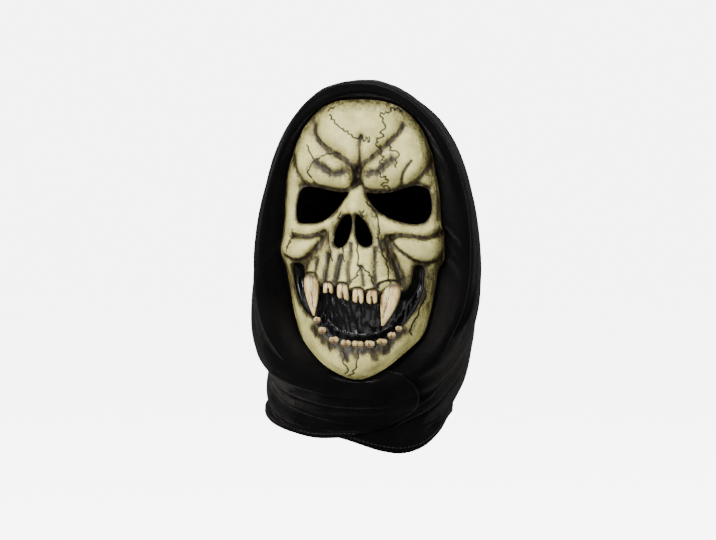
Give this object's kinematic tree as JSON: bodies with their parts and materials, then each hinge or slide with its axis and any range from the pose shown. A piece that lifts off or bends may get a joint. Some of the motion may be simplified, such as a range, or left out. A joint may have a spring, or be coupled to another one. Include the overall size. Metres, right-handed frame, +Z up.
{
  "type": "hooded skull mask",
  "caption": "Moulded latex skull face with fangs and broken teeth, closed behind the mouth, sewn into a black cloth hood whose fronts cross below the chin.",
  "frame": {"origin": "the inside of the hood's crown, where it rests on the top of the wearer's head", "axes": "+Z up, the face looks along -Y, +X on the right of someone facing it"},
  "size_m": [0.1792, 0.2078, 0.2885],
  "materials": {
    "bone_latex": "moulded latex, bone coloured, airbrushed dark in its grooves",
    "black_latex": "wrinkled latex painted gloss black",
    "tooth_latex": "moulded latex, ivory with brown cracks",
    "black_cloth": "matt black knitted cloth"
  },
  "bodies": {
    "root": {"mask_shell": "bone_latex", "mouth_skin": "black_latex", "fang_left": "tooth_latex", "fang_right": "tooth_latex", "incisor_1": "tooth_latex", "incisor_2": "tooth_latex", "incisor_3": "tooth_latex", "incisor_4": "tooth_latex", "stump_1": "tooth_latex", "stump_2": "tooth_latex", "stump_3": "tooth_latex", "stump_4": "tooth_latex", "stump_5": "tooth_latex", "stump_6": "tooth_latex", "stump_7": "tooth_latex", "stump_8": "tooth_latex", "stump_9": "tooth_latex", "hood": "black_cloth"}
  },
  "joints": []
}
